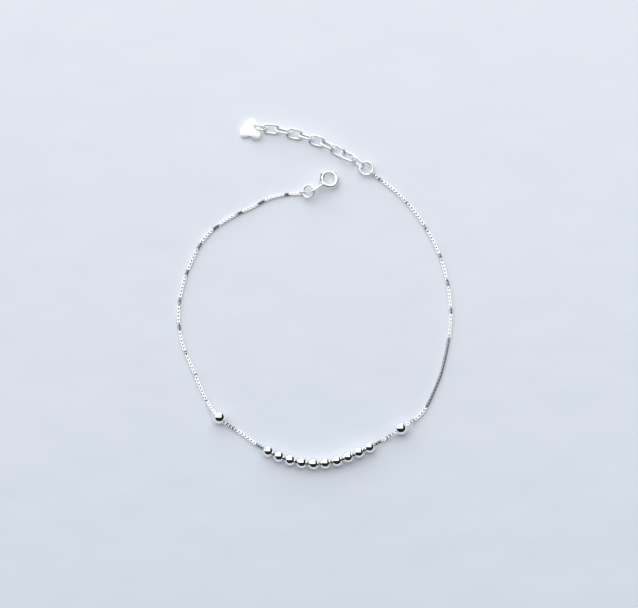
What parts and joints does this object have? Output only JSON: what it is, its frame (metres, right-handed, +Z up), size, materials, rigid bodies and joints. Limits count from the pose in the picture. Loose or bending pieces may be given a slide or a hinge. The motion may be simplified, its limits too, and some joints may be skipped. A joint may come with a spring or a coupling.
{
  "type": "ankle bracelet",
  "caption": "Fine silver chain anklet lying in a loop, with a row of round beads at the front, two stopper beads, a spring-ring clasp and an extender chain that ends in a small heart tag.",
  "frame": {"origin": "on the surface the bracelet lies on, below the middle of its bounding box", "axes": "+Z up from the surface, -Y towards the row of beads at the front of the loop, +X to the right of the picture"},
  "size_m": [0.0694, 0.0904, 0.0035],
  "materials": {
    "chain_silver": "polished silver box chain, softly glittering",
    "bead_silver": "mirror-polished silver",
    "clasp_silver": "polished silver",
    "link_silver": "polished silver wire",
    "tag_silver": "polished silver sheet"
  },
  "bodies": {
    "bracelet": {"chain": "chain_silver", "bead_01": "bead_silver", "bead_02": "bead_silver", "bead_03": "bead_silver", "bead_04": "bead_silver", "bead_05": "bead_silver", "bead_06": "bead_silver", "bead_07": "bead_silver", "bead_08": "bead_silver", "bead_09": "bead_silver", "bead_10": "bead_silver", "stopper_bead_left": "bead_silver", "stopper_bead_right": "bead_silver", "end_link_clasp": "link_silver", "clasp_jump_ring": "link_silver", "clasp_ring": "clasp_silver", "end_link_extender": "link_silver", "extender_ring": "link_silver", "extender_link_1": "link_silver", "extender_link_2": "link_silver", "extender_link_3": "link_silver", "extender_link_4": "link_silver", "extender_link_5": "link_silver", "extender_link_6": "link_silver", "extender_link_7": "link_silver", "extender_link_8": "link_silver", "extender_link_9": "link_silver", "tag_ring": "link_silver", "heart_tag": "tag_silver"},
    "trigger": {"clasp_bolt": "clasp_silver"}
  },
  "joints": [
    {"name": "clasp_trigger", "type": "hinge", "parent": "bracelet", "child": "trigger", "pos_m": [0.00377, 0.02953, 0.00107], "axis": [0.2015, 0.1632, 0.9658], "range_deg": [0, 45], "stiffness_Nm_per_rad": 0.002}
  ]
}
